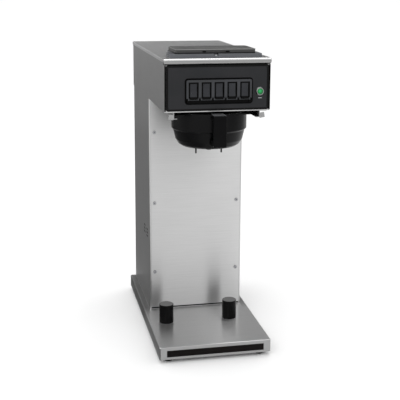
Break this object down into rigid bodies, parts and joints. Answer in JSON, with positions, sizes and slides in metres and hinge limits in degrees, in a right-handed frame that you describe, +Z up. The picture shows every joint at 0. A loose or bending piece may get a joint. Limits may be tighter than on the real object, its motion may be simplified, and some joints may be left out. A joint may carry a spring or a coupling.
{
  "type": "airpot coffee brewer",
  "caption": "Tall pour-over coffee brewer with a hinged fill lid, rocker switches and a pull-out brew funnel over an open airpot bay.",
  "frame": {"origin": "on the resting plane under the feet, at the middle of the whole brewer's width and depth", "axes": "+X to the right seen from the front, +Y towards the back, +Z up; the switches and the funnel's handle face -Y"},
  "size_m": [0.229, 0.4713, 0.621],
  "materials": {
    "brushed_sheet": "brushed stainless sheet with a fine grain",
    "plain_sheet": "mill finish stainless sheet",
    "tank_steel": "drawn stainless steel",
    "fastener_steel": "satin fasteners",
    "bright_plated": "bright plated",
    "black_plastic": "fine satin moulded plastic",
    "panel_black": "satin black panel",
    "funnel_black": "moulded black plastic",
    "grey_plastic": "moulded dark grey plastic",
    "spray_plastic": "heat resistant natural plastic",
    "green_lens": "clear green lens",
    "rubber": "moulded rubber",
    "silicone": "silicone rubber",
    "copper_tube": "drawn copper tube"
  },
  "bodies": {
    "root": {"base_pan": "brushed_sheet", "base_bottom_plate": "plain_sheet", "base_front_insert": "black_plastic", "rubber_feet": "rubber", "foot_screws": "fastener_steel", "airpot_post_left": "black_plastic", "airpot_post_right": "black_plastic", "post_bolts": "fastener_steel", "trunk_shell": "brushed_sheet", "trunk_front_panel": "brushed_sheet", "front_panel_screws": "fastener_steel", "trunk_base_screws": "fastener_steel", "head_screws": "fastener_steel", "hood_shell": "brushed_sheet", "head_floor": "plain_sheet", "top_cover": "brushed_sheet", "top_cover_screws": "fastener_steel", "control_panel": "panel_black", "switch_bezel": "black_plastic", "switch_bodies": "black_plastic", "ready_light_ring": "bright_plated", "ready_light_lens": "green_lens", "ready_light_nut": "bright_plated", "funnel_rail_left": "plain_sheet", "funnel_rail_right": "plain_sheet", "rail_screws": "fastener_steel", "sprayhead": "spray_plastic", "spray_nut": "spray_plastic", "spray_tube": "copper_tube", "fill_basin": "grey_plastic", "basin_screen": "plain_sheet", "fill_surround": "grey_plastic", "surround_screw": "fastener_steel", "lid_hinge_pins": "fastener_steel", "tank_shelf": "plain_sheet", "tank": "tank_steel", "tank_gasket": "silicone", "tank_lid": "tank_steel", "tank_bolts": "fastener_steel", "fill_hose": "silicone", "heating_element": "tank_steel", "thermostat": "black_plastic", "thermostat_bulb": "copper_tube", "limit_thermostat": "black_plastic", "terminal_block": "spray_plastic", "cord_gland": "black_plastic", "gland_nut": "black_plastic"},
    "lid": {"lid": "grey_plastic"},
    "funnel": {"funnel_bowl": "funnel_black", "funnel_handle": "funnel_black", "handle_screws": "fastener_steel"},
    "rocker_1": {"rocker_1": "black_plastic"},
    "rocker_2": {"rocker_2": "black_plastic"},
    "rocker_3": {"rocker_3": "black_plastic"},
    "rocker_4": {"rocker_4": "black_plastic"},
    "rocker_5": {"rocker_5": "black_plastic"}
  },
  "joints": [
    {"name": "lid_hinge", "type": "hinge", "parent": "root", "child": "lid", "pos_m": [0, -0.1051, 0.6162], "axis": [-1, 0, 0], "range_deg": [0, 105]},
    {"name": "funnel_slide", "type": "slide", "parent": "root", "child": "funnel", "axis": [0, -1, 0], "range_m": [0, 0.22]},
    {"name": "rocker_1_tilt", "type": "hinge", "parent": "root", "child": "rocker_1", "pos_m": [-0.0478, -0.207, 0.5433], "axis": [1, 0, 0], "range_deg": [0, 10]},
    {"name": "rocker_2_tilt", "type": "hinge", "parent": "root", "child": "rocker_2", "pos_m": [-0.0229, -0.207, 0.5433], "axis": [1, 0, 0], "range_deg": [0, 10]},
    {"name": "rocker_3_tilt", "type": "hinge", "parent": "root", "child": "rocker_3", "pos_m": [0.002, -0.207, 0.5433], "axis": [1, 0, 0], "range_deg": [0, 10]},
    {"name": "rocker_4_tilt", "type": "hinge", "parent": "root", "child": "rocker_4", "pos_m": [0.0269, -0.207, 0.5433], "axis": [1, 0, 0], "range_deg": [0, 10]},
    {"name": "rocker_5_tilt", "type": "hinge", "parent": "root", "child": "rocker_5", "pos_m": [0.0518, -0.207, 0.5433], "axis": [1, 0, 0], "range_deg": [0, 10]}
  ]
}
